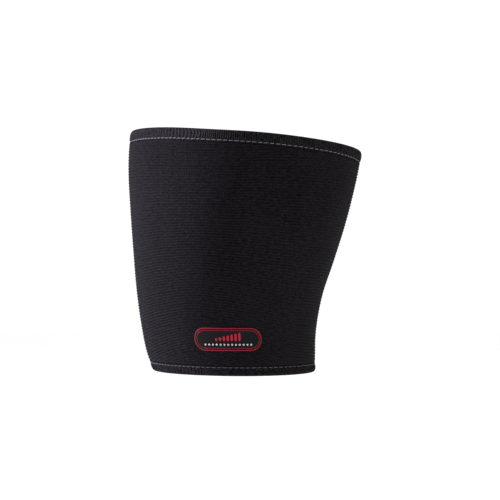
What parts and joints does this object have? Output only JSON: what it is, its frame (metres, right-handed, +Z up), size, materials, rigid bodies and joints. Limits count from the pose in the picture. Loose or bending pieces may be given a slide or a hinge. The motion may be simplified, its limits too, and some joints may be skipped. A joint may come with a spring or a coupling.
{
  "type": "thigh compression sleeve",
  "caption": "Tapered foam-backed cloth tube that hugs a thigh, with a folded ribbed binding sewn over each rim and a small patch low on the front.",
  "frame": {"origin": "on the thigh's axis, halfway up the sleeve, where the thigh it is worn on is measured", "axes": "+Z up the thigh, -Y out of the front, +X towards the inner side of a right leg"},
  "size_m": [0.2141, 0.2046, 0.2196],
  "materials": {
    "sleeve_cloth": "matt black stretch cloth on foam, with fine ribs round the thigh",
    "binding_tape": "black woven tape with fine ribs across it and a light grey sewn line",
    "patch_film": "satin black pressed-on film",
    "patch_red": "satin red print on the patch",
    "patch_grey": "satin pale grey print on the patch",
    "sewing_thread": "light grey twisted thread",
    "seam_thread": "black twisted thread"
  },
  "bodies": {
    "root": {"sleeve_panel": "sleeve_cloth", "top_binding": "binding_tape", "bottom_binding": "binding_tape", "front_patch": "patch_film"}
  },
  "joints": []
}
